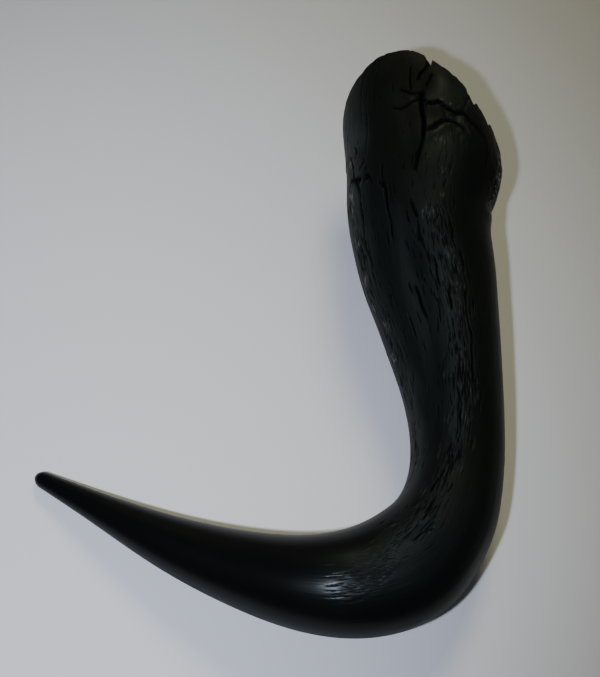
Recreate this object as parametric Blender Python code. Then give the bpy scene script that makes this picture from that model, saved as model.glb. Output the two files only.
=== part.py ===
"""A wildebeest horn sheath, lying as it rests on a table. Metres, +Z up.

The horn grew as one piece, so it is one solid: a thick boss with a hollow, obliquely cut base, a ridged
shaft, a bend of about 130 degrees and a smooth arm that tapers to a blunt tip. A sheet of faces runs from
the tip along the outside to the rim, over the rim and down the hollow to its end.

A place on the horn is given by its reach, the distance from the boss's end along the middle line, and its
angle around that line: 0 faces the inside of the bend, 90 up, 180 the outside of the bend and 270 down.
"""

import math

import bmesh
import bpy
import numpy as np
from mathutils import Matrix, Vector, noise

MM = 0.001

# The middle line from the boss to the tip. Each row has the centre's x, y and z, half the width in the
# plane of the bend and half the height, in millimetres.
STATIONS = (
    (74.6, 154.5, 37.0, 32.5, 26.5),
    (76.1, 135.5, 36.5, 38.2, 32.5),
    (78.6, 113.5, 36.5, 40.5, 36.0),
    (80.4, 94.5, 37.0, 41.6, 37.0),
    (77.8, 74.0, 35.5, 38.6, 36.2),
    (78.8, 53.5, 34.0, 36.2, 34.5),
    (82.2, 33.0, 32.5, 34.9, 31.5),
    (86.2, 13.5, 31.0, 31.7, 29.2),
    (92.3, -24.5, 28.5, 26.3, 26.2),
    (93.8, -61.5, 26.0, 23.8, 24.6),
    (90.4, -84.0, 26.0, 24.6, 25.7),
    (82.0, -103.5, 26.0, 27.4, 26.7),
    (67.6, -117.3, 26.0, 28.7, 26.8),
    (49.1, -124.95, 25.8, 27.8, 26.0),
    (29.6, -127.1, 25.8, 25.4, 24.4),
    (-9.9, -119.3, 20.3, 19.7, 19.3),
    (-50.4, -103.4, 14.3, 13.8, 13.6),
    (-87.9, -84.0, 9.1, 8.0, 8.0),
    (-121.9, -65.3, 3.1, 3.9, 4.0),
)
TIP_ROUND = 5.0 * MM

# How far the rim of the open base stands back from the boss's end, in millimetres, every 30 degrees from
# the inside of the bend: the upper edge reaches furthest, and the outer and lower edges are cut back.
RIM_SETBACK = (28.0, 12.0, 2.0, 2.0, 19.0, 45.0, 64.0, 74.0, 80.0, 78.0, 66.0, 47.0)
RIM_FADE = 150.0 * MM
RIM_ROUND = 1.2 * MM

# The hollow that held the bony core: its depth along the middle line and its share of the outer width.
HOLLOW_END = 205.0 * MM
HOLLOW_SHARE = 0.91
HOLLOW_TAPER = 0.75

# Broad swellings. Each row has the reach and angle of its middle, its spread along and around the horn, in
# millimetres and degrees, and its height in millimetres.
SWELLINGS = (
    (68.0, 56.0, 34.0, 26.0, 1.8),
    (92.0, 112.0, 28.0, 20.0, 1.4),
    (58.0, 165.0, 8.0, 18.0, 1.0),
    (24.0, 112.0, 12.0, 18.0, 1.5),
)

# The fibrous crest along the upper side of the shaft and the bend: its half width and height, and its middle
# as places of reach and angle.
CREST_HALF_WIDTH = 9.0
CREST_HEIGHT = 1.3
CREST = ((90, 92), (124, 98), (146, 100), (171, 94), (212, 93), (252, 80), (284, 78), (308, 86))

# Furrows and cracks: half width and depth in millimetres, then their places of reach and angle.
FURROWS = (
    (2.8, 4.4, ((24, 92), (39, 90), (50, 87), (63, 84), (84, 83))),
    (8.0, 0.9, ((76, 84), (115, 77), (134, 70), (160, 68), (200, 70))),
    (2.4, 1.8, ((104, 104), (119, 108), (132, 112), (165, 109), (200, 107))),
    (2.3, 2.6, ((64, 22), (80, 29), (93, 35), (119, 34))),
    (2.3, 1.8, ((78, 29), (81, 44), (83, 58))),
    (2.3, 1.8, ((72, 57), (93, 62), (110, 60))),
)

# A path's relief fades in and out over this share of its length.
PATH_ENDS = 0.2

# The broken ledge across the outer lobe: its edge, the drop below it, how far the wall takes to drop and the
# floor to rise again, in millimetres, and how far both sides take to fade, in degrees.
LEDGE = ((34, 84), (38, 92), (39, 102), (44, 108), (46, 121), (52, 130), (56, 138))
LEDGE_DROP = 3.2
LEDGE_WALL = 2.6
LEDGE_FLOOR = 16.0
LEDGE_INNER_SIDE = 8.0
LEDGE_OUTER_SIDE = 14.0

# Notches in the rim: angle, length from the rim and width at the rim.
NOTCHES = (
    (101.0, 7.0, 2.6),
    (134.5, 7.0, 4.0),
    (152.0, 4.0, 3.0),
)
NOTCH_THROUGH = 16.0

# Slow unevenness of the whole surface, gone towards the smooth tip.
UNEVEN_HEIGHT = 0.5
UNEVEN_SCALE = 0.035
SMOOTH_FROM = 330.0 * MM
SMOOTH_OVER = 60.0 * MM

# The rows and columns of faces: closest together on the boss and on the upper side, where the relief is.
AROUND = 56
UPPER_CLOSENESS = 0.4
BOSS_LENGTH = 90.0 * MM
BOSS_STEP = 3.6 * MM
STEP_GROWTH = 0.03
TIP_STEPS = 5
INNER_STEPS = 7
LEAST_LAST_STEP = 0.5
REST_HEIGHT = 0.0


class MiddleLine:
    """A natural cubic spline through the stations, read by its length from the boss's end."""

    def __init__(self, stations):
        self.rows = np.array(stations, float) * MM
        chords = np.linalg.norm(np.diff(self.rows[:, :3], axis=0), axis=1)
        self.at = np.concatenate([[0.0], np.cumsum(chords)])
        self.length = self.at[-1]
        self.bends = self.second_derivatives()

    def second_derivatives(self):
        gaps = np.diff(self.at)
        count = len(self.at)
        matrix = np.eye(count)
        right = np.zeros_like(self.rows)
        slopes = np.diff(self.rows, axis=0) / gaps[:, None]
        for i in range(1, count - 1):
            matrix[i, i - 1 : i + 2] = gaps[i - 1], 2 * (gaps[i - 1] + gaps[i]), gaps[i]
            right[i] = 6 * (slopes[i] - slopes[i - 1])
        return np.linalg.solve(matrix, right)

    def read(self, reach):
        """Centre, tangent, half width and half height at this reach."""
        reach = min(max(reach, 0.0), self.length)
        i = min(int(np.searchsorted(self.at, reach, side="right")) - 1, len(self.at) - 2)
        gap = self.at[i + 1] - self.at[i]
        b = (reach - self.at[i]) / gap
        a = 1.0 - b
        low, high = self.bends[i], self.bends[i + 1]
        value = a * self.rows[i] + b * self.rows[i + 1]
        value += ((a**3 - a) * low + (b**3 - b) * high) * gap**2 / 6
        slope = (self.rows[i + 1] - self.rows[i]) / gap
        slope += ((3 * b**2 - 1) * high - (3 * a**2 - 1) * low) * gap / 6
        return Vector(value[:3]), Vector(slope[:3]).normalized(), value[3], value[4]


LINE = MiddleLine(STATIONS)


def rim_setback(angle):
    """How far the rim stands back from the boss's end at this angle, smoothly between its given values."""
    count = len(RIM_SETBACK)
    place = angle / (2 * math.pi) * count
    i = math.floor(place)
    t = place - i
    before, low, high, after = (RIM_SETBACK[(i + k) % count] for k in (-1, 0, 1, 2))
    rise, fall = (high - before) / 2, (after - low) / 2
    square, cube = 3 * (high - low) - 2 * rise - fall, 2 * (low - high) + rise + fall
    return (low + rise * t + square * t**2 + cube * t**3) * MM


def reach_of(nominal, angle):
    """The true reach of a row, which follows the oblique rim near the base."""
    fade = max(0.0, 1.0 - nominal / RIM_FADE)
    return nominal + rim_setback(angle) * fade


def axes_at(tangent):
    """The direction to the inside of the bend, and the upward one."""
    inward = tangent.cross(Vector((0, 0, 1))).normalized()
    return inward, inward.cross(tangent)


def tip_share(reach):
    """The section shrinks to nothing over the rounded tip."""
    into = max(0.0, reach - (LINE.length - TIP_ROUND)) / TIP_ROUND
    return math.sqrt(max(0.0, 1.0 - into * into))


def from_path(reach, degrees, radius, path):
    """Millimetres to the nearest point of a path on the surface, and the share of the path before it."""
    nearest, share = math.inf, 0.0
    for i in range(len(path) - 1):
        low = Vector((path[i][0], math.radians(path[i][1]) * radius))
        high = Vector((path[i + 1][0], math.radians(path[i + 1][1]) * radius))
        here = Vector((reach, math.radians(degrees) * radius))
        t = min(1.0, max(0.0, (here - low).dot(high - low) / (high - low).length_squared))
        distance = (here - low.lerp(high, t)).length
        if distance < nearest:
            nearest, share = distance, (i + t) / (len(path) - 1)
    return nearest, share


def bell(value):
    return math.exp(-value * value)


def path_strength(share):
    """Full along the middle of a path, and nothing at either end."""
    return min(1.0, share / PATH_ENDS, (1 - share) / PATH_ENDS)


def ledge_reach(degrees):
    """The reach of the ledge's edge at this angle, or None beside it."""
    for (low_reach, low), (high_reach, high) in zip(LEDGE, LEDGE[1:]):
        if low <= degrees <= high:
            return low_reach + (high_reach - low_reach) * (degrees - low) / (high - low)
    return None


def ledge_drop(reach, degrees):
    """How far the broken surface beyond the ledge lies below the rest."""
    edge = ledge_reach(degrees)
    if edge is None or not 0 < reach - edge < LEDGE_WALL + LEDGE_FLOOR:
        return 0.0
    past = reach - edge
    down = min(1.0, past / LEDGE_WALL)
    rise = 1.0 - max(0.0, past - LEDGE_WALL) / LEDGE_FLOOR
    inner, outer = degrees - LEDGE[0][1], LEDGE[-1][1] - degrees
    sides = min(1.0, inner / LEDGE_INNER_SIDE, outer / LEDGE_OUTER_SIDE)
    return LEDGE_DROP * down * rise * sides


def relief(point, reach, angle, radius):
    """How far the surface stands out from the plain section, in metres."""
    smooth = min(1.0, max(0.0, (SMOOTH_FROM - reach) / SMOOTH_OVER))
    height = UNEVEN_HEIGHT * smooth * noise.noise(point / UNEVEN_SCALE)
    degrees = (math.degrees(angle) + 90) % 360 - 90
    reach, radius = reach / MM, radius / MM
    for middle, about, length, spread, rise in SWELLINGS:
        height += rise * bell((reach - middle) / length) * bell((degrees - about) / spread)
    away, share = from_path(reach, degrees, radius, CREST)
    height += CREST_HEIGHT * bell(away / CREST_HALF_WIDTH) * path_strength(share)
    for half_width, depth, path in FURROWS:
        away, share = from_path(reach, degrees, radius, path)
        height -= depth * max(0.0, 1 - away / half_width) * path_strength(share)
    return (height - ledge_drop(reach, degrees)) * MM


def outer_point(nominal, angle):
    reach = reach_of(nominal, angle)
    centre, tangent, width, height = LINE.read(reach)
    inward, up = axes_at(tangent)
    share = tip_share(reach)
    spoke = inward * (width * share * math.cos(angle)) + up * (height * share * math.sin(angle))
    if share == 1.0:
        spoke += spoke.normalized() * relief(centre + spoke, reach, angle, (width + height) / 2)
    point = centre + spoke
    point.z = max(point.z, REST_HEIGHT)
    return point


def inner_point(nominal, angle):
    reach = reach_of(nominal, angle)
    centre, tangent, width, height = LINE.read(reach)
    inward, up = axes_at(tangent)
    share = HOLLOW_SHARE * max(0.0, 1.0 - nominal / HOLLOW_END) ** HOLLOW_TAPER
    return centre + inward * (width * share * math.cos(angle)) + up * (height * share * math.sin(angle))


def outer_rows():
    """Nominal reaches from the rim to the tip, closer together on the boss and at the rounded tip."""
    tip_start = LINE.length - TIP_ROUND
    rows = [0.0]
    while True:
        step = BOSS_STEP + STEP_GROWTH * max(0.0, rows[-1] - BOSS_LENGTH)
        if rows[-1] + (1 + LEAST_LAST_STEP) * step > tip_start:
            break
        rows.append(rows[-1] + step)
    turns = [math.pi / 2 * i / TIP_STEPS for i in range(TIP_STEPS + 1)]
    return rows + [tip_start + TIP_ROUND * math.sin(turn) for turn in turns]


def column_angle(column):
    """The columns stand closer together on the upper side."""
    even = 2 * math.pi * (column % AROUND) / AROUND
    return even + UPPER_CLOSENESS * math.cos(even)


def inner_rows():
    """Nominal reaches from just inside the rim to the hollow's end."""
    return [RIM_ROUND + (HOLLOW_END - RIM_ROUND) * i / INNER_STEPS for i in range(INNER_STEPS + 1)]


def build_horn():
    outside, inside = outer_rows()[::-1], inner_rows()
    rows = [(outer_point, nominal) for nominal in outside] + [(inner_point, nominal) for nominal in inside]
    mesh = bpy.data.meshes.new("horn")
    bm = bmesh.new()
    bmesh.ops.create_grid(bm, x_segments=AROUND, y_segments=len(rows) - 1, size=0.5)
    for vert in bm.verts:
        column = round((vert.co.x + 0.5) * AROUND)
        row = round((vert.co.y + 0.5) * (len(rows) - 1))
        place, nominal = rows[row]
        vert.co = place(nominal, column_angle(column))
    bmesh.ops.remove_doubles(bm, verts=bm.verts[:], dist=1e-6)
    bmesh.ops.recalc_face_normals(bm, faces=bm.faces[:])
    bm.to_mesh(mesh)
    bm.free()
    mesh.shade_smooth()
    obj = bpy.data.objects.new("horn", mesh)
    bpy.context.scene.collection.objects.link(obj)
    return obj


def cut_notch(horn, degrees, length, width):
    """A wedge through the rim, widest at its edge."""
    angle = math.radians(degrees)
    edge = outer_point(0.0, angle)
    along = (outer_point(length * MM, angle) - edge).normalized()
    outward = (edge - inner_point(RIM_ROUND, angle)).normalized()
    across = along.cross(outward).normalized()
    outward = across.cross(along)
    mesh = bpy.data.meshes.new("rim notch")
    bm = bmesh.new()
    bmesh.ops.create_cone(
        bm, cap_ends=True, segments=3, radius1=1.0, radius2=1.0, depth=NOTCH_THROUGH * MM,
        matrix=Matrix.Rotation(-math.pi / 2, 4, "Z"),
    )
    bmesh.ops.scale(bm, verts=bm.verts[:], vec=(length * MM, width * MM, 1.0))
    bmesh.ops.transform(bm, verts=bm.verts[:], matrix=Matrix((along, across, outward)).transposed().to_4x4())
    bmesh.ops.translate(bm, verts=bm.verts[:], vec=edge)
    bmesh.ops.recalc_face_normals(bm, faces=bm.faces[:])
    bm.to_mesh(mesh)
    bm.free()
    cutter = bpy.data.objects.new("rim notch", mesh)
    cutter.hide_render = True
    cutter.display_type = "WIRE"
    bpy.context.scene.collection.objects.link(cutter)
    cut = horn.modifiers.new("rim notch", "BOOLEAN")
    cut.operation = "DIFFERENCE"
    cut.object = cutter


def horn_material():
    material = bpy.data.materials.new("black horn")
    material.use_nodes = True
    shader = material.node_tree.nodes["Principled BSDF"]
    shader.inputs["Base Color"].default_value = (0.012, 0.012, 0.011, 1)
    shader.inputs["Roughness"].default_value = 0.42
    return material


def main():
    for obj in list(bpy.data.objects):
        bpy.data.objects.remove(obj)
    horn = build_horn()
    horn.data.materials.append(horn_material())
    for notch in NOTCHES:
        cut_notch(horn, *notch)


main()
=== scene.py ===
"""A black wildebeest horn sheath lying on a pale table: its cracked boss, fibrous shaft and polished arm.

A place on the horn is given by its reach, the distance from the boss's end along the middle line, and its
angle around that line: 0 faces the inside of the bend, 90 up, 180 the outside of the bend and 270 down.
The tables and the relief are in millimetres and degrees. Values multiplied by MM, points in space, lamps and
the camera's place are in metres.
"""

import math

import bmesh
import bpy
import numpy as np
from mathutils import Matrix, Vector, noise


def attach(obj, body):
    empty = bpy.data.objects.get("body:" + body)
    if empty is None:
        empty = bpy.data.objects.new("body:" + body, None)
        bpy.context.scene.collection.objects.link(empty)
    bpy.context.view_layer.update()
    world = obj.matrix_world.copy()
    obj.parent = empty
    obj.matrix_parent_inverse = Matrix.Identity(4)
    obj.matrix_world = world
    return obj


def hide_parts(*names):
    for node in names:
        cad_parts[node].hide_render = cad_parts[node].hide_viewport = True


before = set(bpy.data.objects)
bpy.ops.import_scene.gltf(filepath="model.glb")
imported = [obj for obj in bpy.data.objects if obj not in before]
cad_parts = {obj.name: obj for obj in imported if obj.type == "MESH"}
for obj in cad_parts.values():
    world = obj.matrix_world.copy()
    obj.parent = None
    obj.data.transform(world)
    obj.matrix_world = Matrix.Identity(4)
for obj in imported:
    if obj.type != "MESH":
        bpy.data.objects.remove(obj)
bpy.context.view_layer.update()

MM = 0.001

# The middle line from the boss to the tip: the centre's x, y and z, half the width in the plane of the bend
# and half the height.
STATIONS = (
    (74.6, 154.5, 37.0, 32.5, 26.5),
    (76.1, 135.5, 36.5, 38.2, 32.5),
    (78.6, 113.5, 36.5, 40.5, 36.0),
    (80.4, 94.5, 37.0, 41.6, 37.0),
    (77.8, 74.0, 35.5, 38.6, 36.2),
    (78.8, 53.5, 34.0, 36.2, 34.5),
    (82.2, 33.0, 32.5, 34.9, 31.5),
    (86.2, 13.5, 31.0, 31.7, 29.2),
    (92.3, -24.5, 28.5, 26.3, 26.2),
    (93.8, -61.5, 26.0, 23.8, 24.6),
    (90.4, -84.0, 26.0, 24.6, 25.7),
    (82.0, -103.5, 26.0, 27.4, 26.7),
    (67.6, -117.3, 26.0, 28.7, 26.8),
    (49.1, -124.95, 25.8, 27.8, 26.0),
    (29.6, -127.1, 25.8, 25.4, 24.4),
    (-9.9, -119.3, 20.3, 19.7, 19.3),
    (-50.4, -103.4, 14.3, 13.8, 13.6),
    (-87.9, -84.0, 9.1, 8.0, 8.0),
    (-121.9, -65.3, 3.1, 3.9, 4.0),
)
TIP_ROUND = 5.0 * MM

# How far the rim of the open base stands back from the boss's end, every 30 degrees, and where that has faded
# out along the horn. Then the rim's mean radius, its thickness and how much its edge is rounded off.
RIM_SETBACK = (28.0, 11.0, 0.7, 1.1, 18.4, 45.0, 64.0, 74.0, 80.0, 78.0, 66.0, 47.0)
RIM_FADE = 150.0 * MM
RIM_RADIUS = 34.0
RIM_THICKNESS = 1.2 * MM
RIM_ROUNDING = 0.5

# Breaks in the rim: angle, depth and half width. They have faded out a little way along the horn.
RIM_NOTCHES = (
    (38, 0.9, 1.8),
    (62, 0.9, 1.6),
    (74, 0.8, 1.3),
    (88, 0.8, 1.0),
    (103, 8.0, 1.8),
    (112, 0.7, 1.4),
    (119, 1.0, 1.5),
    (125, 0.9, 1.2),
    (134.5, 8.0, 3.0),
    (141.5, 0.8, 1.2),
    (148, 7.0, 2.8),
    (160, 1.0, 2.0),
)
NOTCH_FADE = 12.0 * MM

# Small chips between the notches: their greatest depth, the scales of their noise on a ring of radius 1, the
# finer noise's share, and the level that leaves the rim where it is.
RIM_CHIPPING = 0.8
CHIP_SCALE = 0.09
FINE_CHIP_SCALE = 0.03
FINE_CHIP_SHARE = 0.5
CHIP_LEVEL = 0.6

# The hollow of the bony core: its end, its share of the horn's width, how full its taper is, how fibrous its
# wall is, and the depth over which shade painted inside it turns black.
HOLLOW_END = 205.0 * MM
HOLLOW_SHARE = 0.91
HOLLOW_TAPER = 0.75
HOLLOW_FIBROUS = 0.8
HOLLOW_SHADE_DEPTH = 60.0 * MM

# Broad swellings and hollows: reach, angle, spreads along and around the horn, and height.
SWELLINGS = (
    (68, 56, 34, 26, 1.8),
    (92, 112, 28, 20, 1.4),
    (64, 160, 7, 14, 1.2),
    (24, 112, 12, 18, 1.5),
    (316, 104, 15, 40, 0.8),
    (94, 164, 7, 18, 1.2),
    (160, -3, 24, 26, 1.1),
    (262, 172, 13, 34, -2.2),
)

# The fibrous crest along the upper side, and how quickly it rises and falls at its ends.
CREST = (
    (90, 92), (124, 98), (146, 101), (171, 98), (198, 92),
    (216, 85), (230, 78), (248, 71), (284, 73), (308, 86),
)
CREST_HALF_WIDTH = 9.0
CREST_HEIGHT = 1.3
CREST_START = 5.0
CREST_END = 3.0

# Broad valleys: half width, depth and course.
VALLEYS = (
    (2.6, 0.8, ((26, 92), (39, 90), (50, 87), (63, 84), (80, 83))),
    (8.0, 0.9, ((76, 84), (115, 77), (134, 70), (160, 68), (200, 70))),
)

# Slow unevenness of the whole surface, and the reaches over which it fades out towards the smooth tip.
UNEVEN_HEIGHT = 0.5
UNEVEN_SCALE = 35.0 * MM
UNEVEN_FADE = (330.0, 270.0)

# Cracks and fibres wander from their courses: the scale and the two strengths of that.
WANDER_SCALE = 4.5
CRACK_WANDER = 0.7
CRACK_JITTER = 0.35
FIBRE_WANDER = 0.8

# Cracks: half width, depth and course, from the rim down the horn.
CRACKS = (
    (0.98, 5.0, ((33, 91), (36, 90), (50, 88), (60, 86))),
    (0.66, 3.6, ((52, 88), (60, 86), (69, 84), (76, 83))),
    (0.55, 3.0, ((4, 103), (14, 99), (20, 92), (24, 89))),
    (0.42, 1.6, ((14, 86), (22, 84), (31, 83))),
    (0.42, 1.4, ((20, 102), (25, 98), (30, 94))),
    (0.62, 1.3, ((29, 74), (33, 84), (34, 91))),
    (0.66, 1.4, ((40, 67), (42, 74), (39, 82), (37, 89))),
    (0.42, 1.6, ((5, 133), (19, 132), (34, 130), (40, 126), (46, 121))),
    (0.5, 1.8, ((46, 119), (50, 125), (54, 134), (58, 140), (62, 142))),
    (0.55, 1.5, ((58, 140), (66, 139))),
    (0.42, 0.6, ((6, 59), (14, 57), (22, 54), (32, 53), (44, 53))),
    (0.42, 0.4, ((8, 45), (24, 41), (34, 40), (50, 38))),
    (0.42, 0.35, ((14, 49), (30, 46), (52, 44))),
    (0.42, 0.35, ((40, 46), (55, 44), (70, 43))),
    (0.62, 1.2, ((57, 30), (64, 32))),
    (0.47, 1.2, ((70, 42), (74, 36))),
    (0.55, 1.6, ((60, 20), (64, 22), (72, 26), (78, 28))),
    (0.66, 2.0, ((76, 27), (81, 33), (86, 35))),
    (0.47, 1.8, ((84, 34), (92, 35), (99, 32), (105, 30), (112, 32), (126, 30))),
    (0.7, 2.0, ((78, 28), (78, 38), (78, 46), (82, 51))),
    (0.47, 1.4, ((74, 44), (78, 42))),
    (0.47, 1.4, ((78, 28), (77, 22), (80, 17), (90, 17))),
    (0.47, 1.3, ((74, 58), (82, 58))),
    (0.78, 2.2, ((81, 55), (84, 59), (90, 60), (96, 59))),
    (0.47, 1.8, ((94, 59), (100, 60), (110, 59))),
    (0.42, 1.0, ((104, 54), (112, 55))),
    (0.47, 1.4, ((104, 22), (108, 24), (113, 23))),
    (0.62, 1.8, ((92, 80), (96, 80), (101, 82))),
    (0.42, 1.2, ((104, 82), (113, 80))),
    (0.55, 1.6, ((104, 107), (109, 108), (115, 107))),
    (0.62, 2.2, ((121, 112), (126, 113), (132, 112))),
    (0.47, 1.6, ((121, 89), (127, 90), (133, 88), (139, 89))),
    (0.62, 2.0, ((134, 67), (139, 68), (144, 68), (153, 70))),
    (0.47, 1.4, ((147, 52), (153, 53), (160, 54))),
    (0.55, 2.0, ((140, 94), (145, 95), (151, 94))),
    (0.47, 1.6, ((138, 113), (146, 110), (154, 108), (160, 109))),
    (0.62, 2.2, ((158, 109), (164, 110), (171, 108), (183, 106), (191, 104))),
    (0.55, 1.6, ((145, 118), (153, 116))),
    (0.55, 1.2, ((133, 42), (136, 41))),
    (0.47, 1.4, ((189, 88), (194, 89), (198, 90), (204, 88), (213, 89))),
    (0.47, 1.4, ((219, 77), (226, 74))),
    (0.47, 1.4, ((223, 89), (229, 88))),
    (0.62, 2.0, ((235, 73), (240, 69), (245, 66), (250, 64))),
    (0.55, 1.4, ((267, 89), (270, 84), (274, 82), (280, 83))),
    (0.36, 0.2, ((308, 128), (316, 130), (323, 131))),
)

# How deep a groove is at its first and last point, as a share, and how soon it reaches its full depth.
GROOVE_START = 0.35
GROOVE_END = 0.1
GROOVE_FADE = 5.0

# A crack's raised lip and where it lies, how far the shade painted into it reaches, and the depth at which
# that painted shade is black.
CRACK_LIP = 0.03
LIP_PLACE = 1.7
CRACK_SHADE = 1.15
BLACK_DEPTH = 1.2

# The broken ledge across the outer lobe: its edge and how much that wanders, the angles over which it sets in
# and fades out, its drop, and the lengths of its wall and of the floor below it.
LEDGE = ((34, 84), (38, 92), (40, 96), (39, 102), (44, 108), (47, 113), (46, 121), (52, 130), (56, 138))
LEDGE_WANDER = 1.1
LEDGE_ONSET = (84.0, 90.0)
LEDGE_FADE = (138.0, 112.0)
LEDGE_DROP = 2.0
LEDGE_WALL = 0.7
LEDGE_FLOOR = 17.0
# The painted shadow under the ledge's edge: its strength, middle and spread.
LEDGE_SHADOW = (0.8, 0.4, 0.37)
# The rubble below it: its height, two noises as scales around and along and share, and where it fades out.
LEDGE_RUBBLE = 0.6
RUBBLE_NOISES = ((2.6, 2.0, 1.0), (1.1, 1.1, 0.5))
RUBBLE_FADE = (20.0, 8.0)

# The open gap below the ledge, and the lip beyond it: height, middle, spread and spread away from the gap.
GAP = ((57, 88), (55, 95), (52, 101), (51, 108), (53, 116), (56, 122))
GAP_WANDER = 1.3
GAP_HALF_WIDTH = 1.0
GAP_DEPTH = 2.6
GAP_LIP = (0.9, 3.4, 2.4, 5.0)

# How fibrous the skin is, from 0 to 1. The splintered band along the crest has a half width at each reach,
# and reaches over which it sets in and fades out.
CREST_BAND = ((150, 9.0), (200, 4.5), (250, 4.5), (275, 7.0))
CREST_BAND_ONSET = (82.0, 104.0)
CREST_BAND_FADE = (312.0, 270.0)
# The bend: strength, middle angle and spread, and where it sets in and fades out.
BEND_FIBRES = (0.18, 102.0, 26.0)
BEND_FIBRES_ONSET = (236.0, 262.0)
BEND_FIBRES_FADE = (336.0, 318.0)
# The boss and the shaft: strength, and the reaches over which it fades out.
BOSS_FIBRES = (0.13, 130.0, 70.0)
SHAFT_FIBRES = (0.16, 300.0, 240.0)
# The plate, and the inner and outer edges: strength, reach, angle, and spreads along and around the horn.
PLATE_FIBRES = (0.45, 74, 104, 22, 20)
INNER_EDGE_FIBRES = (0.5, 140, 16, 60, 20)
OUTER_EDGE_FIBRES = (0.6, 72, 164, 20, 14)

# The thin slits of the bark: scales around and along, half width in the noise, and depth.
BARK_LAYERS = ((3.2, 13.0, 0.1, 0.9), (1.9, 6.5, 0.13, 0.45))
# Where the bark is slit: a broader noise, its scales as multiples of the slits', and how fibrous the skin is.
BARK_BREADTH = (2.5, 1.2)
BARK_WHERE = (-0.15, 0.3)
BARK_FIBROUS = (0.3, 0.85)
# How dark the shade painted into a slit is: least, added for each millimetre of depth, and most.
BARK_SHADE = (0.2, 0.7, 0.7)

# Short splits between the fibres: how many, their first and last reach, their spread beside the course, the
# greatest depth and length, and the course.
SLITS = (
    (280, 92, 190, 6.5, 0.8, 9, CREST),
    (190, 175, 262, 3.0, 0.8, 9, CREST),
    (90, 250, 300, 5.0, 0.6, 9, CREST),
    (260, 252, 318, 4.5, 0.45, 7, ((250, 74), (275, 76), (290, 83), (303, 94), (318, 106), (332, 112))),
    (210, 84, 240, 8.0, 0.5, 10, ((84, 24), (240, 18))),
    (90, 20, 120, 26.0, 0.3, 9, ((20, 60), (120, 60))),
    (60, 60, 104, 7.0, 0.45, 9, ((60, 100), (104, 100))),
    (50, 50, 104, 6.0, 0.4, 9, ((50, 24), (104, 24))),
)
SLIT_SEED = 11
SHORTEST_SLIT = 2.5
SLIT_HALF_WIDTHS = (0.24, 0.4)
SLIT_DEPTH_SHARES = (0.25, 1.0)
SLIT_SLANT = 0.05
SLIT_END = 2.0
# Shade painted into the short splits: its least strength, before their depth adds to it.
SLIT_SHADE = 0.45

# Fibres lifted along the crest: how many, and the ranges of their reach, spread beside the crest, length,
# half width and rise. Each drops off over its end and is a little pale.
FLAKE_SEED = 7
FLAKE_COUNT = 150
FLAKE_REACHES = (94, 280)
FLAKE_SPREAD = 4.5
FLAKE_LENGTHS = (3, 9)
FLAKE_HALF_WIDTHS = (0.35, 0.8)
FLAKE_RISES = (0.15, 0.5)
FLAKE_END = 1.6
FLAKE_PALENESS = 0.6

# The fine relief: scales around and along the horn, and a shift that tells the noises apart.
COARSE_FIBRES = (1.9, 26.0)
FINE_FIBRES = (0.8, 9.0, 2.0)
BROAD_FIBRES = (5.5, 60.0, 3.0)
FLAKY_NOISE = (1.3, 1.9, 6.0)
SCAB_NOISE = (2.4, 2.8, 4.0)
# Their heights on fully fibrous skin only, then everywhere with what fibrous skin adds, and where that fades.
COARSE_HEIGHT = 0.14
FINE_HEIGHT = 0.12
BROAD_HEIGHTS = (0.07, 0.2)
FINE_HEIGHTS = (0.03, 0.05)
BROAD_FADE = (350.0, 290.0)
FINE_FADE = (345.0, 300.0)
# The flaky skin of the plate and the rim, and the scab on the outer bump: height, reach, angle and spreads.
FLAKY_HEIGHT = 0.13
FLAKY_PLATE = (80, 102, 26, 16)
FLAKY_RIM = 0.5
FLAKY_RIM_FADE = (60.0, 30.0)
SCAB_HEIGHT = 0.7
SCAB = (68, 160, 14, 12)

# Patches of pale flakes and painted highlights: reach, angle and size.
FLECKS = (
    (99, 90, 4.5), (100, 97, 3.0), (112, 100, 4.0), (121, 102, 4.0), (129, 105, 4.0), (138, 104, 4.0),
    (152, 101, 4.0), (61, 100, 2.4), (60, 95, 2.0), (52, 106, 2.0), (36, 82, 1.5), (38, 86, 1.4),
    (74, 104, 2.4), (82, 97, 2.2), (40, 128, 2.5), (52, 156, 3.0), (59, 162, 4.0), (66, 160, 4.5),
    (73, 163, 5.0), (82, 161, 4.0), (92, 163, 5.0), (108, 166, 4.0), (68, 22, 5.0), (84, 20, 6.0),
    (102, 18, 5.0), (120, 14, 5.0), (56, 112, 2.0), (68, 92, 1.8), (90, 104, 2.2), (148, 20, 5.0),
    (134, 12, 4.0), (164, 12, 4.0), (182, 8, 4.0), (226, 80, 2.4), (236, 75, 2.2), (10, 118, 2.2),
    (16, 116, 1.8), (13, 135, 2.2), (21, 133, 2.2), (28, 131, 2.0), (170, 100, 4.0), (190, 98, 4.0),
    (205, 94, 4.0), (36, 98, 1.5), (39, 104, 1.7), (42, 110, 1.8), (44, 117, 1.8), (58, 106, 1.8),
    (49, 107, 1.6), (51, 116, 1.7),
)
# Their noise as scales and shift, the level it stands on, the sums where a flake begins and is full, and the
# height of a full one.
FLECK_NOISE = (0.6, 1.3, 7.0)
FLECK_LEVEL = 0.4
FLECK_EDGES = (0.3, 0.6)
FLECK_HEIGHT = 0.12
# Painted glints make them brighter towards the outer and the inner edge, over these angles, and they cover
# only a crack's faint side.
OUTER_GLINT = (140.0, 152.0)
INNER_GLINT = (32.0, 24.0)
FLECK_COVERS = -0.2
# Degrees in an arc as long as the radius.
ARC_DEGREES = 57.0
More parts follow.
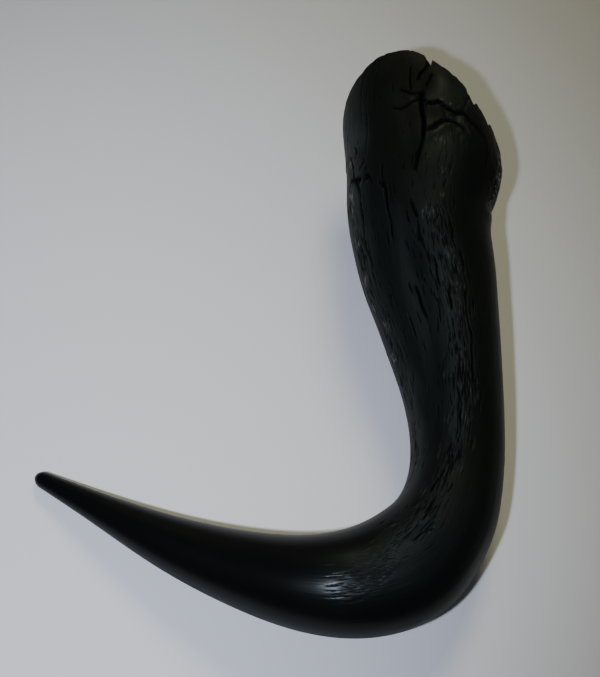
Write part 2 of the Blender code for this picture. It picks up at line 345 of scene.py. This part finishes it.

# Broad patches of painted shade and painted sheen: reach, angle, spreads along and around the horn, and tone,
# which is below 0 for painted shade and above 0 for painted sheen.
SHADE_AND_SHEEN_PATCHES = (
    (18, 80, 16, 30, -1.2),
    (43, 34, 26, 15, 0.75),
    (60, 66, 22, 15, -0.8),
    (88, 70, 14, 10, -0.5),
    (29, 119, 13, 18, 1.0),
    (66, 100, 12, 12, 0.3),
    (88, 98, 14, 12, 0.25),
    (66, 134, 28, 15, -0.3),
    (124, 76, 36, 9, -0.9),
    (150, 92, 50, 9, 0.5),
    (208, 30, 42, 15, 0.45),
    (100, 26, 22, 12, 0.45),
    (180, 69, 20, 9, -0.8),
    (215, 63, 24, 9, -0.9),
    (245, 54, 20, 9, -0.6),
    (222, 118, 55, 17, -0.45),
    (140, 128, 60, 16, -0.15),
    (288, 82, 20, 10, 0.8),
    (46, 98, 7, 12, -0.9),
    (118, 54, 28, 12, -0.5),
    (28, 97, 9, 9, -0.6),
    (56, 81, 22, 6, -0.6),
    (300, 206, 60, 30, -1.1),
    (400, 208, 70, 34, -1.1),
)
# Mottling: its noise as scales and shift, its share on the patches and elsewhere, and where the latter fades.
MOTTLE_NOISE = (7.0, 16.0, 8.0)
MOTTLE_ON_PATCHES = 0.8
MOTTLE_ELSEWHERE = 0.25
MOTTLE_FADE = (300.0, 200.0)

# Handling has polished the upper side of the bend and the arm: the middle and spread of the polish around the
# horn, and the reaches over which it sets in.
POLISH_MIDDLE = 106.0
POLISH_SPREAD = 80.0
POLISH_ONSET = (250.0, 300.0)

# The skin's columns and how much closer they are on the upper side, and its rows: each stretch's end and step
# along the horn, the rows of the rounded tip, and the rows of the hollow, closer together near the rim.
COLUMNS = 365
UPPER_CLOSENESS = 0.45
ROW_STEPS = ((75.0 * MM, 1.0 * MM), (330.0 * MM, 1.7 * MM), (math.inf, 5.0 * MM))
TIP_ROWS = 7
HOLLOW_ROWS = 10
HOLLOW_ROW_POWER = 1.3

# The straight, round horn that noise is laid over, and the distances at which vertices merge and a spoke is
# taken to have a length.
GRAIN_RADIUS = 30.0 * MM
MERGED = 1e-7
SHORTEST_SPOKE = 1e-9

# What the finish reads at each vertex, besides its place in the grain: how fibrous the skin is, shade painted
# into cracks with pale flakes and painted glints, patches of painted shade and sheen with mottling, and
# polish.
FINISH_LAYERS = ("fibrous", "shade_flakes_and_glints", "tone", "polish")

# The keratin's colours, each after the first with the values over which it takes over: how fibrous the skin
# is for the plain one, how dull for the dull one, the patches for the next two, painted sheen and painted
# shade, and the crack layer for the last three, pale flakes, painted glints and shade painted into cracks.
POLISHED = (0.0022, 0.0022, 0.0022, 1)
PLAIN = ((0.0041, 0.0053, 0.0046, 1), (0.0, 0.13))
DULL = ((0.0075, 0.0095, 0.009, 1), (0.6, 1.5))
LIGHT_MOTTLE_AND_SHEEN = ((0.0125, 0.0165, 0.0152, 1), (0.0, 0.9))
DARK_MOTTLE_AND_SHADE = ((0.0014, 0.0018, 0.0014, 1), (0.0, -0.9))
PALE_AND_GLINT = ((0.03, 0.035, 0.033, 1), (0.1, 1.0))
PAINTED_GLINT = ((0.16, 0.17, 0.16, 1), (1.0, 2.0))
SHADE_IN_RECESSES = ((0.0004, 0.0004, 0.0004, 1), (-0.08, -0.65))

# Its noises: scale, detail and roughness, and how far the first two are drawn out along the horn.
STREAKS = (620.0, 5.0, 0.6)
THREADS = (1900.0, 3.0, 0.6)
CLOUDS = (55.0, 3.0, 0.55)
PORES = (2600.0, 2.0, 0.55)
STREAK_STRETCH = (1.0, 1.0, 0.06)
THREAD_STRETCH = (1.0, 1.0, 0.05)

# How dull it is: the shares of the fibrous skin, the streaks and the clouds.
DULLNESS = (0.9, 0.6, 0.35)

# Its reflection.
REFRACTION = 1.54
REFLECTION = 0.11
REFLECTION_TINT = (0.88, 1.0, 0.98, 1)

# Its roughness: what the polish takes off, what unevenness adds anywhere and more on fibrous skin, and how
# much the streaks, clouds, the crack layer and the patches of painted shade and sheen count. Each has the two
# values it runs between and what they give.
ROUGHNESS = 0.46
POLISH_SMOOTHS = 0.2
UNEVEN_ROUGHENS = (0.02, 0.12)
ROUGH_STREAKS = (0.3, 0.75, 0.0, 1.0)
ROUGH_CLOUDS = (0.35, 0.7, 0.0, 0.6)
ROUGH_WEAR = (-0.02, -0.35, 0.0, 0.4)
ROUGH_TONE = (0.0, -0.9, 0.0, 0.25)

# Its bump: strength and height, the threads' share anywhere and more on fibrous skin, and the pores' share.
BUMP_STRENGTH = 0.45
BUMP_HEIGHT = 0.2 * MM
THREAD_BUMPS = (0.1, 0.9)
PORE_BUMP = 0.1

TABLE_COLOUR = (0.62, 0.62, 0.62, 1)
TABLE_ROUGHNESS = 0.8
TABLE_HALF_SIDE = 2.0

# Lamps: name, the way to it and its distance from the middle of the table, where it aims, its radius, its
# cone in degrees, watts and colour.
LAMPS = (
    ("window", (-0.15, -0.359, 0.81), 0.9, (-0.16, -0.08, 0), 0.025, 54, 38.0, (0.75, 0.81, 1.0)),
    ("ceiling", (0.17, 0.72, 0.66), 1.2, (0.01, -0.004, 0), 0.3, 27.7, 66.0, (1.0, 0.94, 0.61)),
)
ROOM_COLOUR = (0.9, 0.95, 1.0, 1)
ROOM_STRENGTH = 0.08

# The camera: degrees above the table, distance from its target, and its lens and sensor in millimetres.
CAMERA_ELEVATION = 68
CAMERA_TARGET = (0.0146, 0.0026, 0.025)
CAMERA_DISTANCE = 0.8
CAMERA_LENS = 81.8
CAMERA_SENSOR = 36.0


class MiddleLine:
    """A natural cubic spline through the stations, read at many reaches at once."""

    def __init__(self, stations):
        self.rows = np.array(stations, float) * MM
        chords = np.linalg.norm(np.diff(self.rows[:, :3], axis=0), axis=1)
        self.at = np.concatenate([[0.0], np.cumsum(chords)])
        self.length = self.at[-1]
        gaps = np.diff(self.at)
        slopes = np.diff(self.rows, axis=0) / gaps[:, None]
        matrix = np.eye(len(self.at))
        right = np.zeros_like(self.rows)
        for i in range(1, len(gaps)):
            matrix[i, i - 1 : i + 2] = gaps[i - 1], 2 * (gaps[i - 1] + gaps[i]), gaps[i]
            right[i] = 6 * (slopes[i] - slopes[i - 1])
        self.bends = np.linalg.solve(matrix, right)

    def read(self, reach):
        """Centres, tangents, half widths and half heights."""
        reach = np.clip(reach, 0.0, self.length)
        i = np.clip(np.searchsorted(self.at, reach, side="right") - 1, 0, len(self.at) - 2)
        gap = (self.at[i + 1] - self.at[i])[..., None]
        b = (reach - self.at[i])[..., None] / gap
        a = 1.0 - b
        low, high = self.bends[i], self.bends[i + 1]
        value = a * self.rows[i] + b * self.rows[i + 1]
        value += ((a**3 - a) * low + (b**3 - b) * high) * gap**2 / 6
        slope = (self.rows[i + 1] - self.rows[i]) / gap
        slope += ((3 * b**2 - 1) * high - (3 * a**2 - 1) * low) * gap / 6
        tangent = slope[..., :3] / np.linalg.norm(slope[..., :3], axis=-1, keepdims=True)
        return value[..., :3], tangent, value[..., 3], value[..., 4]


LINE = MiddleLine(STATIONS)


def noise_at(points, scale):
    """Smooth noise of about -1 to 1 at each point, for one scale or one per axis."""
    flat = (points / np.asarray(scale)).reshape(-1, 3)
    values = [noise.noise(Vector(point)) for point in flat]
    return np.array(values).reshape(points.shape[:-1])


def bell(value):
    """1 at 0, falling smoothly to about a third at 1 and to nothing beyond 2."""
    return np.exp(-value * value)


def ramp(value, low, high):
    """0 at low and 1 at high, or the other way round where low is the larger."""
    return np.clip((value - low) / (high - low), 0.0, 1.0)


def wrapped_degrees(angle):
    """Degrees from -90 to 270, so that the upper side has no jump."""
    return (np.degrees(angle) + 90) % 360 - 90


def grain_at(reach, angle):
    """Places on the horn as if it were straight and round, so that noise can follow its length."""
    around = np.stack([np.cos(angle), np.sin(angle)], -1) * GRAIN_RADIUS
    return np.concatenate([around, reach[..., None]], -1)


def rim_setback(angle):
    """How far the rim stands back at these angles, smoothly between its given values."""
    values = np.array(RIM_SETBACK)
    place = angle / (2 * math.pi) * len(values)
    i = np.floor(place).astype(int)
    t = place - i
    before, low, high, after = (values[(i + k) % len(values)] for k in (-1, 0, 1, 2))
    rise, fall = (high - before) / 2, (after - low) / 2
    bend, twist = 3 * (high - low) - 2 * rise - fall, 2 * (low - high) + rise + fall
    return (low + rise * t + bend * t**2 + twist * t**3) * MM


def rim_breaks(angle):
    """How much deeper the rim is broken away at these angles: the notches, and small chips between."""
    degrees = wrapped_degrees(angle)
    depth = np.zeros_like(angle)
    for about, deep, half_width in RIM_NOTCHES:
        away = np.abs(np.radians(degrees - about)) * RIM_RADIUS
        depth = np.maximum(depth, deep * np.clip(1 - away / half_width, 0, 1))
    ring = np.stack([np.cos(angle), np.sin(angle), np.zeros_like(angle)], -1)
    chips = np.clip(noise_at(ring, CHIP_SCALE), 0, 1)
    chips += FINE_CHIP_SHARE * np.abs(noise_at(ring, FINE_CHIP_SCALE))
    return (depth + RIM_CHIPPING * (chips - CHIP_LEVEL)) * MM


def reach_of(nominal, angle, breaks):
    """True reach of a row, which follows the oblique, broken rim near the base."""
    return nominal + rim_setback(angle) * ramp(nominal, RIM_FADE, 0) + breaks * ramp(nominal, NOTCH_FADE, 0)


def sections(reach, angle):
    """Centre, the spoke from it to the plain section's skin, the tip's narrowing and the mean radius."""
    centre, tangent, width, height = LINE.read(reach)
    inward = np.cross(tangent, (0.0, 0.0, 1.0))
    inward /= np.linalg.norm(inward, axis=-1, keepdims=True)
    up = np.cross(inward, tangent)
    into = np.clip(reach - (LINE.length - TIP_ROUND), 0, TIP_ROUND) / TIP_ROUND
    share = np.sqrt(1.0 - into * into)
    spoke = inward * (width * share * np.cos(angle))[..., None]
    spoke += up * (height * share * np.sin(angle))[..., None]
    return centre, spoke, share, (width + height) / 2


class Skin:
    """The relief and the finish at many reaches and angles on the horn at once.

    The crack layer is below 0 where shade is painted into cracks, gaps and the hollow, and above 0 on pale
    flakes and painted glints. The tone layer is below 0 for painted shade and above 0 for painted sheen, with
    random mottling.
    """

    def __init__(self, reach, angle, radius, point):
        self.reach = reach / MM
        self.degrees = wrapped_degrees(angle)
        self.radius = radius / MM
        self.point = point
        self.grain = grain_at(reach, angle)
        self.height, self.shade_flakes_and_glints, self.fibrous, self.tone = (np.zeros_like(reach) for _ in range(4))
        jitter = CRACK_JITTER * self.noise(0.5 * WANDER_SCALE, 0.4 * WANDER_SCALE, 5.0)
        self.wander_along = CRACK_WANDER * self.noise(WANDER_SCALE, WANDER_SCALE) + jitter
        self.wander_around = CRACK_WANDER * self.noise(WANDER_SCALE, 2 * WANDER_SCALE, 1.0) + jitter

    def noise(self, around, along, shift=0.0):
        """Smooth noise with these scales around and along the horn. Each shift gives another one."""
        return noise_at(self.grain + shift, (around * MM, around * MM, along * MM))

    def patch(self, reach, about, along, around):
        """1 at a place, fading over these spreads along and around the horn."""
        return bell((self.reach - reach) / along) * bell((self.degrees - about) / around)

    # Paint shade into cracks, slits and gaps: lower the crack layer to at most minus this amount.
    def paint_shade(self, amount):
        self.shade_flakes_and_glints = np.minimum(self.shade_flakes_and_glints, -amount)

    def add_pale_and_glint(self, amount, covers):
        """Make the skin paler, for pale flakes and painted glints, except where painted crack shade lies
        below what that covers.
        """
        self.shade_flakes_and_glints = np.where(self.shade_flakes_and_glints < covers, self.shade_flakes_and_glints, np.maximum(self.shade_flakes_and_glints, amount))

    def past_edge(self, course):
        """Millimetres past an edge that runs around the horn."""
        reaches, angles = zip(*course)
        return self.reach - np.interp(self.degrees, angles, reaches)

    def from_course(self, course, wandering=0.0):
        """Millimetres to the nearest point of a course, and the share of the course before it."""
        reach = self.reach + wandering * self.wander_along
        arc = np.radians(self.degrees) * self.radius + wandering * self.wander_around
        nearest = np.full_like(self.reach, np.inf)
        share = np.zeros_like(self.reach)
        for i, (low, high) in enumerate(zip(course, course[1:])):
            along = high[0] - low[0]
            around = math.radians(high[1] - low[1]) * self.radius
            past, beside = reach - low[0], arc - math.radians(low[1]) * self.radius
            t = np.clip((past * along + beside * around) / (along**2 + around**2), 0, 1)
            distance = np.hypot(past - t * along, beside - t * around)
            share = np.where(distance < nearest, (i + t) / (len(course) - 1), share)
            nearest = np.minimum(nearest, distance)
        return nearest, share

    def groove(self, half_width, depth, course, wandering=0.0):
        """Cut a V along the course. Gives the distance from it, the shade to paint into it and its fade at
        both ends.
        """
        away, share = self.from_course(course, wandering)
        start, end = GROOVE_START + GROOVE_FADE * share, GROOVE_END + GROOVE_FADE * (1 - share)
        ends = np.minimum(1.0, np.minimum(start, end))
        self.height -= depth * np.clip(1 - away / half_width, 0, 1) * ends
        return away, np.clip(CRACK_SHADE - away / half_width, 0, 1) * ends, ends

    def swell(self):
        """The broad forms: swellings, the crest, slow unevenness and valleys."""
        for *place, rise in SWELLINGS:
            self.height += rise * self.patch(*place)
        away, share = self.from_course(CREST)
        ends = np.minimum(1, np.minimum(CREST_START * share, CREST_END * (1 - share)))
        self.height += CREST_HEIGHT * bell(away / CREST_HALF_WIDTH) * ends
        self.height += UNEVEN_HEIGHT * ramp(self.reach, *UNEVEN_FADE) * noise_at(self.point, UNEVEN_SCALE)
        for half_width, depth, course in VALLEYS:
            self.groove(half_width, depth, course)

    def break_ledge(self):
        """The surface beyond the ledge has broken away to a rough floor and open gap, with painted shade in
        both.
        """
        past = self.past_edge(LEDGE) - LEDGE_WANDER * self.wander_along
        sides = ramp(self.degrees, *LEDGE_ONSET) * ramp(self.degrees, *LEDGE_FADE)
        floor = ramp(past, 0, LEDGE_WALL) * ramp(past, LEDGE_WALL + LEDGE_FLOOR, LEDGE_WALL) * sides
        rubble = sum(share * self.noise(around, along) for around, along, share in RUBBLE_NOISES)
        self.height -= floor * LEDGE_DROP
        self.height += np.sqrt(floor) * LEDGE_RUBBLE * rubble * ramp(past, *RUBBLE_FADE)
        strength, middle, spread = LEDGE_SHADOW
        self.paint_shade(strength * bell((past - middle) / spread) * sides)
        away, painted_shade, ends = self.groove(GAP_HALF_WIDTH, GAP_DEPTH, GAP, GAP_WANDER)
        height, middle, spread, away_spread = GAP_LIP
        lip = bell((self.past_edge(GAP) - middle) / spread) * bell(away / away_spread)
        self.height += height * lip * ends
        self.paint_shade(painted_shade)

    def crack_open(self):
        """The cracks, each with a slightly raised lip and with shade painted into it."""
        for half_width, depth, course in CRACKS:
            away, painted_shade, ends = self.groove(half_width, depth, course, wandering=1.0)
            self.height += CRACK_LIP * depth * bell((away - LIP_PLACE * half_width) / half_width) * ends
            self.paint_shade(painted_shade * min(1.0, depth / BLACK_DEPTH))

    def fray(self):
        """How fibrous the surface is: most along the crest, some on the boss, none on the arm."""
        away, _ = self.from_course(CREST)
        crest = bell(away / np.interp(self.reach, *zip(*CREST_BAND)))
        crest *= ramp(self.reach, *CREST_BAND_ONSET) * ramp(self.reach, *CREST_BAND_FADE)
        strength, middle, spread = BEND_FIBRES
        bend = strength * bell((self.degrees - middle) / spread)
        bend *= ramp(self.reach, *BEND_FIBRES_ONSET) * ramp(self.reach, *BEND_FIBRES_FADE)
        boss, shaft = (strength * ramp(self.reach, *fade) for strength, *fade in (BOSS_FIBRES, SHAFT_FIBRES))
        plate, inner_edge, outer_edge = (
            strength * self.patch(*place)
            for strength, *place in (PLATE_FIBRES, INNER_EDGE_FIBRES, OUTER_EDGE_FIBRES))
        parts = np.maximum.reduce([crest, bend, boss, shaft, plate])
        self.fibrous = np.clip(parts + inner_edge + outer_edge, 0, 1)

    def bark(self):
        """Thin slits between long plates, where a stretched noise crosses zero, with shade painted into them.
        """
        strength = ramp(self.fibrous, *BARK_FIBROUS)
        wider, longer = BARK_BREADTH
        least, added, most = BARK_SHADE
        for across, along, thin, depth in BARK_LAYERS:
            where = ramp(self.noise(wider * across, longer * along, along), *BARK_WHERE)
            slit = np.clip(1 - np.abs(self.noise(across, along, across)) / thin, 0, 1) * where * strength
            self.height -= depth * slit
            self.paint_shade(slit * min(most, least + added * depth))

    def slit(self, generator):
        """Short splits between the fibres, most along the crest and over the bend, with shade painted into
        them.
        """
        for count, first, last, spread, deepest, longest, course in SLITS:
            for _ in range(count):
                start = generator.uniform(first, last)
                beside = generator.normal(0, spread)
                length = generator.uniform(SHORTEST_SLIT, longest)
                half_width = generator.uniform(*SLIT_HALF_WIDTHS)
                depth = generator.uniform(*SLIT_DEPTH_SHARES) * deepest
                slant = generator.normal(0, SLIT_SLANT)
                near = np.nonzero(np.abs(self.reach - start - length / 2) < length / 2)
                past, away = self.past_and_beside(course, start, beside, slant, near)
                ends = ramp(past, 0, SLIT_END) * ramp(past, length, length - SLIT_END)
                wall = np.clip(1 - away / half_width, 0, 1) * ends
                self.height[near] -= depth * wall
                self.shade_flakes_and_glints[near] = np.minimum(self.shade_flakes_and_glints[near], -wall * min(1.0, SLIT_SHADE + depth))

    def lift_flakes(self, generator):
        """Short fibres that stand up along the crest, each lifted at its lower end."""
        starts = generator.uniform(*FLAKE_REACHES, FLAKE_COUNT)
        sides = generator.normal(0, FLAKE_SPREAD, FLAKE_COUNT)
        lengths = generator.uniform(*FLAKE_LENGTHS, FLAKE_COUNT)
        half_widths = generator.uniform(*FLAKE_HALF_WIDTHS, FLAKE_COUNT)
        rises = generator.uniform(*FLAKE_RISES, FLAKE_COUNT)
        for start, beside, length, half_width, rise in zip(starts, sides, lengths, half_widths, rises):
            past, away = self.past_and_beside(CREST, start, beside)
            slope = ramp(past, 0, length) * ramp(past, length + FLAKE_END, length)
            body = slope * np.clip(1 - away / half_width, 0, 1)
            self.height += rise * body
            self.add_pale_and_glint(FLAKE_PALENESS * body, covers=0.0)

    def past_and_beside(self, course, start, beside, slant=0.0, near=...):
        """How far places lie past a start, and to either side of a line from there beside the course."""
        reach = self.reach[near]
        arc = np.radians(self.degrees[near] - np.interp(reach, *zip(*course))) * self.radius[near]
        past = reach - start
        return past, np.abs(arc - beside - slant * past + FIBRE_WANDER * self.wander_around[near])

    def comb(self):
        """The fine fibres that run the length of the horn, and the flaky and scabbed patches on the boss."""
        fine = self.noise(*FINE_FIBRES)
        self.height += self.fibrous * (COARSE_HEIGHT * self.noise(*COARSE_FIBRES) + FINE_HEIGHT * fine)
        for (everywhere, added), pattern, fade in (
                (BROAD_HEIGHTS, self.noise(*BROAD_FIBRES), BROAD_FADE), (FINE_HEIGHTS, fine, FINE_FADE)):
            self.height += (everywhere + added * self.fibrous) * pattern * ramp(self.reach, *fade)
        flaky = self.patch(*FLAKY_PLATE) + FLAKY_RIM * ramp(self.reach, *FLAKY_RIM_FADE)
        self.height += FLAKY_HEIGHT * flaky * self.noise(*FLAKY_NOISE)
        self.height += SCAB_HEIGHT * self.patch(*SCAB) * self.noise(*SCAB_NOISE)

    def fleck(self):
        """Small pale flakes, with painted glints that are brightest towards the edges."""
        around = self.radius / ARC_DEGREES
        patches = sum(
            bell((self.reach - reach) / size) * bell((self.degrees - about) * around / size)
            for reach, about, size in FLECKS)
        pale = ramp(patches * (FLECK_LEVEL + self.noise(*FLECK_NOISE)), *FLECK_EDGES)
        pale *= 1 + ramp(self.degrees, *OUTER_GLINT) + ramp(self.degrees, *INNER_GLINT)
        self.height += FLECK_HEIGHT * np.minimum(pale, 1)
        self.add_pale_and_glint(pale, covers=FLECK_COVERS)

    def paint_shade_and_sheen(self):
        """Patches of painted shade and painted sheen, with random mottling over them and on the boss and
        shaft.
        """
        patches = sum(tone * self.patch(*place) for *place, tone in SHADE_AND_SHEEN_PATCHES)
        mottle = self.noise(*MOTTLE_NOISE)
        self.tone = patches * (1 + MOTTLE_ON_PATCHES * mottle)
        self.tone += MOTTLE_ELSEWHERE * mottle * ramp(self.reach, *MOTTLE_FADE)


def row_reaches():
    """Nominal reaches from the rim to the tip, closest together on the boss and at the rounded tip."""
    tip_start = LINE.length - TIP_ROUND
    rows = [0.0]
    for end, step in ROW_STEPS:
        while rows[-1] + step < min(end, tip_start - step / 2):
            rows.append(rows[-1] + step)
    tip = [tip_start + TIP_ROUND * math.sin(math.pi / 2 * i / TIP_ROWS) for i in range(TIP_ROWS + 1)]
    return np.array(rows + tip)


def column_angles():
    """Angles around the horn, closer together on the upper side."""
    even = np.arange(COLUMNS) * 2 * math.pi / COLUMNS
    return even + UPPER_CLOSENESS * np.cos(even)


def outside(angles):
    """The outer skin from the rim to the tip: its points, its grain and its finish layers."""
    nominal, angle = np.meshgrid(row_reaches(), angles, indexing="ij")
    reach = np.minimum(reach_of(nominal, angle, rim_breaks(angles)[None, :]), LINE.length)
    centre, spoke, share, radius = sections(reach, angle)
    skin = Skin(reach, angle, radius, centre + spoke)
    skin.swell()
    skin.break_ledge()
    skin.crack_open()
    skin.fray()
    skin.bark()
    skin.slit(np.random.default_rng(SLIT_SEED))
    skin.lift_flakes(np.random.default_rng(FLAKE_SEED))
    skin.comb()
    skin.fleck()
    skin.paint_shade_and_sheen()
    outward = spoke / np.maximum(np.linalg.norm(spoke, axis=-1, keepdims=True), SHORTEST_SPOKE)
    relief = np.where(share < 1, 0.0, skin.height - RIM_ROUNDING * ramp(nominal, RIM_THICKNESS, 0))
    points = centre + spoke + outward * (relief * MM)[..., None]
    points[..., 2] = np.maximum(points[..., 2], 0.0)
    polish = bell((skin.degrees - POLISH_MIDDLE) / POLISH_SPREAD) * ramp(skin.reach, *POLISH_ONSET)
    return points, skin.grain, skin.fibrous, skin.shade_flakes_and_glints, skin.tone, polish


def inside(angles):
    """The hollow's wall, from the rim to the point of the core, with the same layers as the outer skin."""
    steps = np.linspace(0, 1, HOLLOW_ROWS) ** HOLLOW_ROW_POWER
    nominal, angle = np.meshgrid(RIM_THICKNESS + (HOLLOW_END - RIM_THICKNESS) * steps, angles, indexing="ij")
    reach = reach_of(nominal, angle, rim_breaks(angles)[None, :])
    centre, spoke, _, _ = sections(reach, angle)
    narrowing = HOLLOW_SHARE * np.clip(1 - nominal / HOLLOW_END, 0, 1) ** HOLLOW_TAPER
    points = centre + spoke * narrowing[..., None]
    none = np.zeros_like(reach)
    # Shade painted inside the hollow, black from this depth on.
    shade_flakes_and_glints = -ramp(nominal, 0, HOLLOW_SHADE_DEPTH)
    return points, grain_at(reach, angle), none + HOLLOW_FIBROUS, shade_flakes_and_glints, none, none


def placed(bm, name):
    """A new object in the scene, from a mesh that is then let go."""
    mesh = bpy.data.meshes.new(name)
    bm.to_mesh(mesh)
    bm.free()
    piece = bpy.data.objects.new(name, mesh)
    bpy.context.scene.collection.objects.link(piece)
    return piece


def horn_sheath():
    """A grid rolled round the middle line: outside from the tip to the rim, and on down the hollow."""
    angles = column_angles()
    layers = [np.concatenate([outer[::-1], inner]) for outer, inner in zip(outside(angles), inside(angles))]
    points, grain, *finishes = layers
    rows = len(points)
    bm = bmesh.new()
    grain_layer = bm.verts.layers.float_vector.new("grain")
    finish_layers = [bm.verts.layers.float.new(name) for name in FINISH_LAYERS]
    bmesh.ops.create_grid(bm, x_segments=COLUMNS, y_segments=rows - 1, size=0.5)
    for vert in bm.verts:
        row = round((vert.co.y + 0.5) * (rows - 1))
        column = round((vert.co.x + 0.5) * COLUMNS) % COLUMNS
        vert.co = points[row, column]
        vert[grain_layer] = grain[row, column]
        for layer, finish in zip(finish_layers, finishes):
            vert[layer] = finish[row, column]
    bmesh.ops.remove_doubles(bm, verts=bm.verts[:], dist=MERGED)
    bmesh.ops.recalc_face_normals(bm, faces=bm.faces[:])
    piece = placed(bm, "horn_sheath")
    piece.data.shade_smooth()
    return piece


class Signal:
    """A value that varies over a surface. Arithmetic on it adds the Math nodes."""

    def __init__(self, finish, socket):
        self.finish = finish
        self.socket = socket

    def maths(self, operation, first, second):
        return self.finish.node("ShaderNodeMath", {"operation": operation}, {0: first, 1: second})

    def __add__(self, other):
        return self.maths("ADD", self, other)

    def __radd__(self, other):
        return self.maths("ADD", other, self)

    def __rsub__(self, other):
        return self.maths("SUBTRACT", other, self)

    def __mul__(self, other):
        return self.maths("MULTIPLY", self, other)


class Finish:
    """A material made up of nodes around its Principled shader."""

    def __init__(self, name, **settings):
        self.material = bpy.data.materials.new(name)
        self.material.use_nodes = True
        self.tree = self.material.node_tree
        self.shader = self.tree.nodes["Principled BSDF"]
        self.shade(**settings)

    def node(self, kind, settings, sockets, output=0):
        """One node: its settings first, then values or signals for its sockets."""
        made = self.tree.nodes.new(kind)
        for name, value in settings.items():
            setattr(made, name, value)
        for name, value in sockets.items():
            self.feed(made.inputs[name], value)
        return Signal(self, made.outputs[output])

    def feed(self, socket, value):
        """Link a signal to a socket, or set the socket's own number."""
        if isinstance(value, Signal):
            self.tree.links.new(value.socket, socket)
        else:
            socket.default_value = value

    def attribute(self, name, output="Fac"):
        return self.node("ShaderNodeAttribute", {"attribute_name": name}, {}, output)

    def noise(self, vector, scale, detail, roughness):
        return self.node("ShaderNodeTexNoise", {}, {
            "Vector": vector, "Scale": scale, "Detail": detail, "Roughness": roughness})

    def stretched(self, vector, scale):
        return self.node("ShaderNodeMapping", {}, {"Vector": vector, "Scale": scale})

    def between(self, value, low, high, new_low=0.0, new_high=1.0):
        return self.node("ShaderNodeMapRange", {"clamp": True}, {
            "Value": value, "From Min": low, "From Max": high, "To Min": new_low, "To Max": new_high})

    def blend(self, share, first, second):
        """A mix of two colours. On this node, sockets 6 and 7 and output 2 are the colours."""
        return self.node("ShaderNodeMix", {"data_type": "RGBA"}, {0: share, 6: first, 7: second}, output=2)

    def shade(self, **values):
        for socket, value in values.items():
            self.feed(self.shader.inputs[socket.replace("_", " ")], value)


def keratin_finish():
    """Near-black horn: satin on the arm, dull and fibrous on the crest, shade painted in cracks, painted
    sheen and glints.
    """
    finish = Finish(
        "horn keratin", IOR=REFRACTION, Specular_IOR_Level=REFLECTION, Specular_Tint=REFLECTION_TINT)
    grain = finish.attribute("grain", "Vector")
    fibrous, shade_flakes_and_glints, tone, polish = (finish.attribute(name) for name in FINISH_LAYERS)
    streaks = finish.noise(finish.stretched(grain, STREAK_STRETCH), *STREAKS)
    threads = finish.noise(finish.stretched(grain, THREAD_STRETCH), *THREADS)
    clouds = finish.noise(grain, *CLOUDS)
    pores = finish.noise(grain, *PORES)

    of_fibres, of_streaks, of_clouds = DULLNESS
    dullness = fibrous * of_fibres + streaks * of_streaks + clouds * of_clouds
    colour = POLISHED
    # Painted sheen and painted shade from the patches, then pale flakes, painted glints and shade painted
    # into cracks.
    for value, (over, where) in (
        (fibrous, PLAIN), (dullness, DULL), (tone, LIGHT_MOTTLE_AND_SHEEN), (tone, DARK_MOTTLE_AND_SHADE),
        (shade_flakes_and_glints, PALE_AND_GLINT), (shade_flakes_and_glints, PAINTED_GLINT), (shade_flakes_and_glints, SHADE_IN_RECESSES),
    ):
        colour = finish.blend(finish.between(value, *where), colour, over)

    everywhere, added = UNEVEN_ROUGHENS
    uneven = finish.between(streaks, *ROUGH_STREAKS) + finish.between(clouds, *ROUGH_CLOUDS)
    roughness = ROUGHNESS - polish * POLISH_SMOOTHS + uneven * (everywhere + fibrous * added)
    roughness = roughness + finish.between(shade_flakes_and_glints, *ROUGH_WEAR) + finish.between(tone, *ROUGH_TONE)

    everywhere, added = THREAD_BUMPS
    height = threads * (everywhere + fibrous * added) + streaks * fibrous + pores * PORE_BUMP
    bump = finish.node("ShaderNodeBump", {}, {
        "Strength": BUMP_STRENGTH, "Distance": BUMP_HEIGHT, "Height": height})
    finish.shade(Base_Color=colour, Roughness=roughness, Normal=bump)
    return finish.material


def table_top():
    """A pale plain table."""
    bm = bmesh.new()
    bmesh.ops.create_grid(bm, x_segments=1, y_segments=1, size=TABLE_HALF_SIDE)
    table = placed(bm, "table")
    finish = Finish("pale table", Base_Color=TABLE_COLOUR, Roughness=TABLE_ROUGHNESS)
    table.data.materials.append(finish.material)
    return table


def lamp(name, towards, distance, aim, radius, cone, watts, colour):
    """A round lamp with a soft-edged cone, placed this way and far from the middle of the table."""
    light = bpy.data.lights.new(name, "SPOT")
    light.shadow_soft_size = radius
    light.spot_size = math.radians(cone)
    light.spot_blend = 1.0
    light.energy = watts
    light.color = colour
    holder = bpy.data.objects.new(name, light)
    holder.location = Vector(towards).normalized() * distance
    holder.rotation_euler = (holder.location - Vector(aim)).to_track_quat("Z", "Y").to_euler()
    bpy.context.scene.collection.objects.link(holder)


def room_light():
    """The faint, even light of the room."""
    world = bpy.data.worlds.new("room")
    world.use_nodes = True
    background = world.node_tree.nodes["Background"]
    background.inputs["Color"].default_value = ROOM_COLOUR
    background.inputs["Strength"].default_value = ROOM_STRENGTH
    bpy.context.scene.world = world


def photo_camera():
    """The camera looks down on the horn from the table's near side."""
    elevation = math.radians(CAMERA_ELEVATION)
    looking = Vector((0, math.cos(elevation), -math.sin(elevation)))
    data = bpy.data.cameras.new("camera")
    data.lens = CAMERA_LENS
    data.sensor_width = CAMERA_SENSOR
    camera = bpy.data.objects.new("camera", data)
    camera.location = Vector(CAMERA_TARGET) - looking * CAMERA_DISTANCE
    camera.rotation_euler = looking.to_track_quat("-Z", "Y").to_euler()
    bpy.context.scene.collection.objects.link(camera)
    bpy.context.scene.camera = camera


horn = horn_sheath()
horn.data.materials.append(keratin_finish())
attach(horn, "root")
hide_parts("horn")

table_top()
room_light()
for row in LAMPS:
    lamp(*row)
photo_camera()
